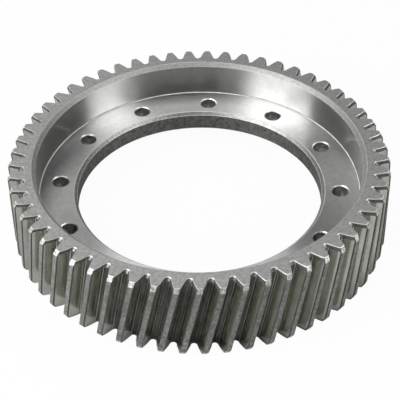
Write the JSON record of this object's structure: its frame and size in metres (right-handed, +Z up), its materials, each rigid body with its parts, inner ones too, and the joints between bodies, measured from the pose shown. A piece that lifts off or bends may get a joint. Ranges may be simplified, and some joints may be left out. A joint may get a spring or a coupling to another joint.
{
  "type": "helical ring gear",
  "caption": "Ring gear with helical teeth around its outside, recessed at both ends, and an inner flange with a circle of bolt holes around a large bore.",
  "frame": {"origin": "centre of the lower end face, on the gear's axis", "axes": "+Z up the gear's axis, towards the end whose recess is deeper; +X through the middle of a bolt hole"},
  "size_m": [0.301, 0.301, 0.067],
  "materials": {
    "gear_steel": "machined, satin, turned and hobbed"
  },
  "bodies": {
    "root": {"ring_gear": "gear_steel"}
  },
  "joints": []
}
